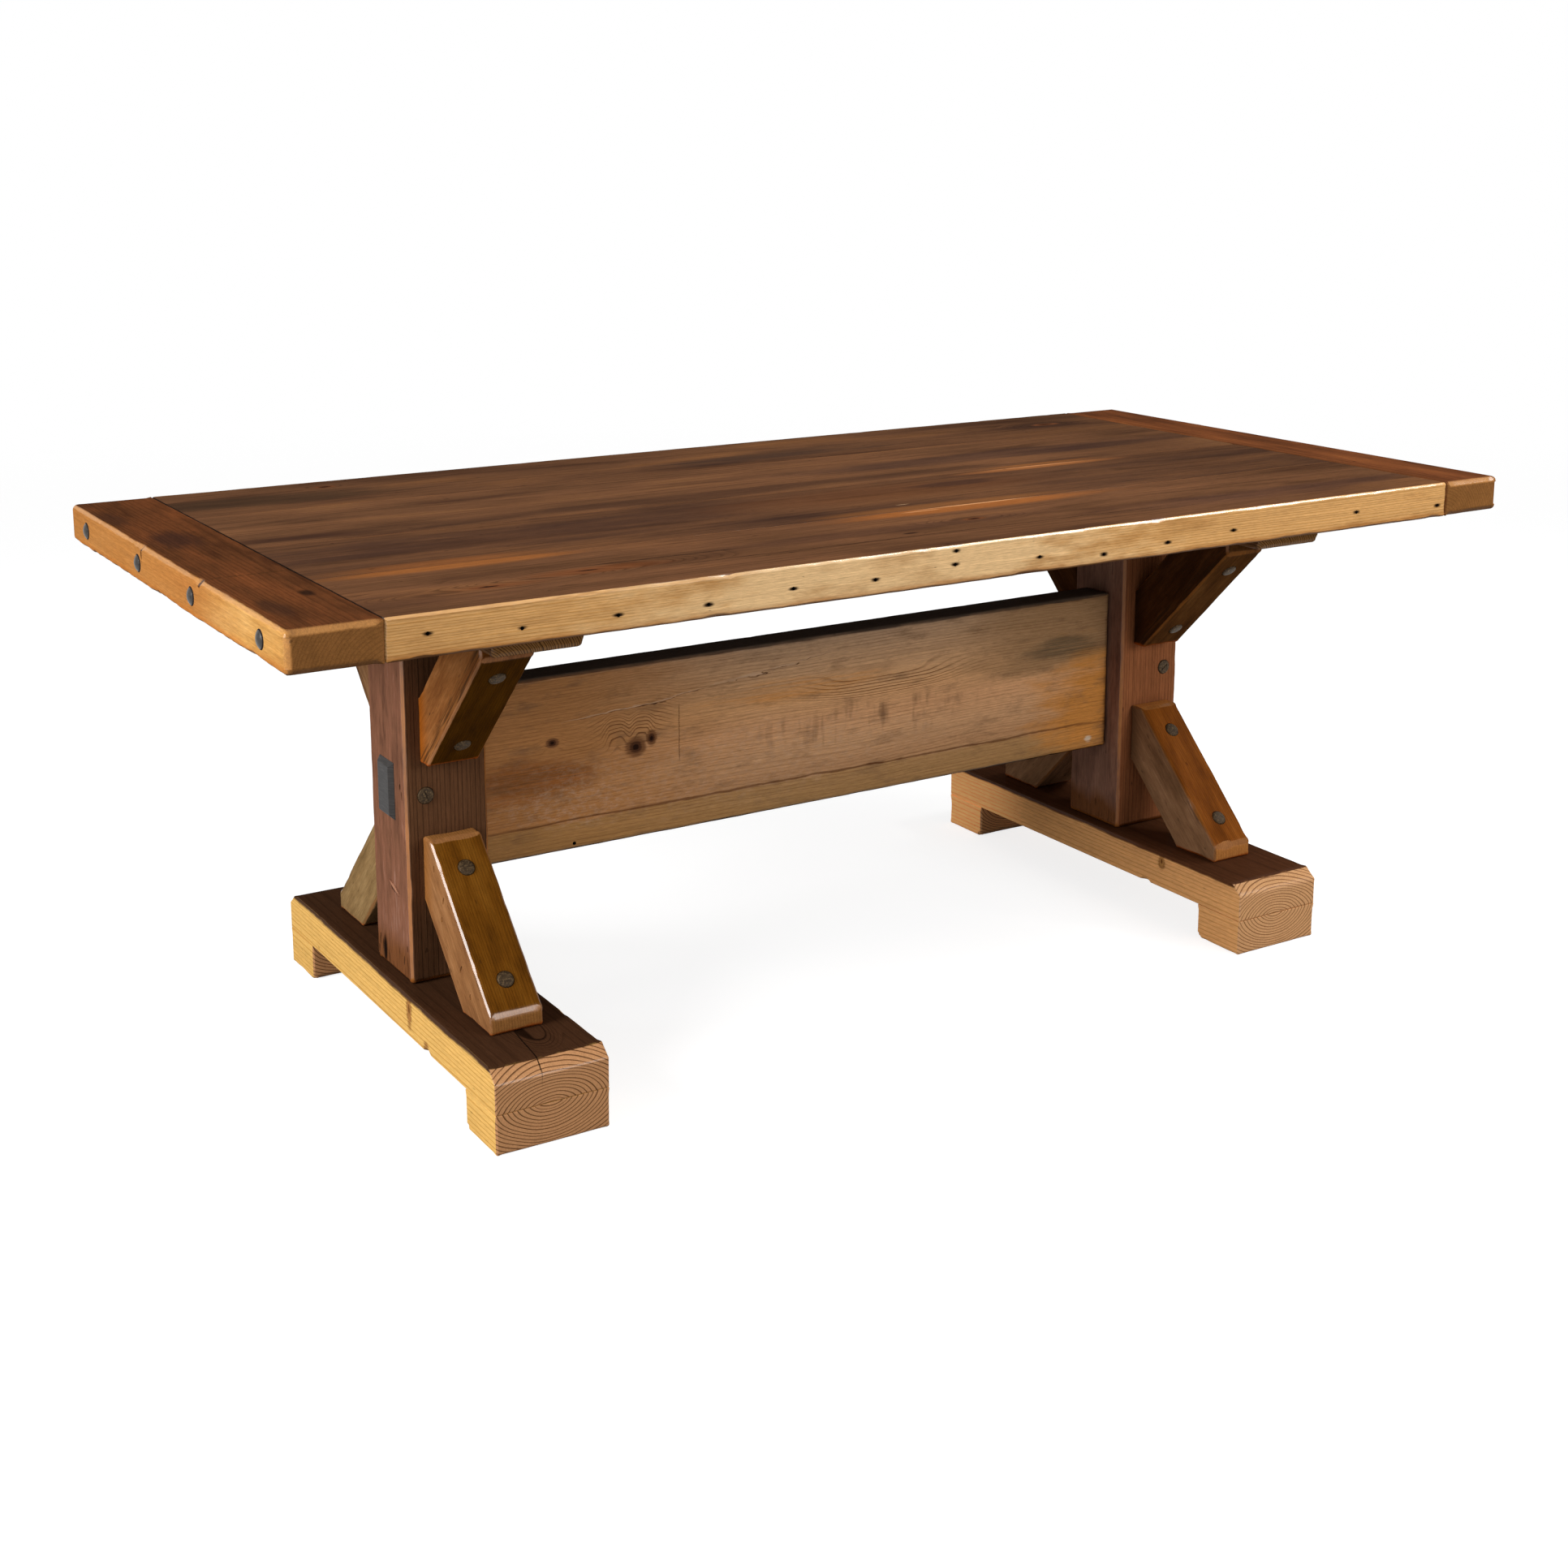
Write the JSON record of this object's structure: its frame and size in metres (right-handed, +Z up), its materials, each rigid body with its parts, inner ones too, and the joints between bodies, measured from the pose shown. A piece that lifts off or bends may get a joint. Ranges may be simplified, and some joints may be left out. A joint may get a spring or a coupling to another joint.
{
  "type": "trestle dining table",
  "caption": "Reclaimed timber dining table: plank top with breadboard ends on two braced trestles, joined by a deep plank stretcher with through tenons.",
  "frame": {"origin": "on the floor, under the middle of the table top", "axes": "+X along the table's length to the right as seen from the front, +Y across it to the back, +Z up"},
  "size_m": [2.05, 0.962, 0.762],
  "materials": {
    "reclaimed_top": "satin varnish over reclaimed softwood",
    "trestle_timber": "satin varnish over dark reclaimed softwood",
    "foot_timber": "satin varnish over planed softwood",
    "stretcher_board": "satin varnish over weathered softwood",
    "dowel_beech": "turned",
    "blackened_steel": "black oxide, smooth",
    "aged_bolt": "worn dark patina",
    "zinc_screw": "zinc plated"
  },
  "bodies": {
    "root": {"bearer_left": "trestle_timber", "bearer_right": "trestle_timber", "bearer_screws_left": "zinc_screw", "bearer_screws_right": "zinc_screw", "breadboard_bolts_left": "blackened_steel", "breadboard_bolts_right": "blackened_steel", "breadboard_left": "reclaimed_top", "breadboard_right": "reclaimed_top", "foot_beam_left": "foot_timber", "foot_beam_right": "foot_timber", "foot_pad_left_back": "foot_timber", "foot_pad_left_front": "foot_timber", "foot_pad_right_back": "foot_timber", "foot_pad_right_front": "foot_timber", "foot_pad_screws_left": "zinc_screw", "foot_pad_screws_right": "zinc_screw", "lower_brace_bolts_left": "aged_bolt", "lower_brace_bolts_right": "aged_bolt", "lower_brace_left_back": "trestle_timber", "lower_brace_left_front": "trestle_timber", "lower_brace_right_back": "trestle_timber", "lower_brace_right_front": "trestle_timber", "plank_dowels": "dowel_beech", "post_left": "trestle_timber", "post_right": "trestle_timber", "stretcher": "stretcher_board", "stretcher_pin_left": "aged_bolt", "stretcher_pin_right": "aged_bolt", "top_plank_1": "reclaimed_top", "top_plank_2": "reclaimed_top", "top_plank_3": "reclaimed_top", "top_plank_4": "reclaimed_top", "upper_brace_bolts_left": "aged_bolt", "upper_brace_bolts_right": "aged_bolt", "upper_brace_left_back": "trestle_timber", "upper_brace_left_front": "trestle_timber", "upper_brace_right_back": "trestle_timber", "upper_brace_right_front": "trestle_timber"}
  },
  "joints": []
}
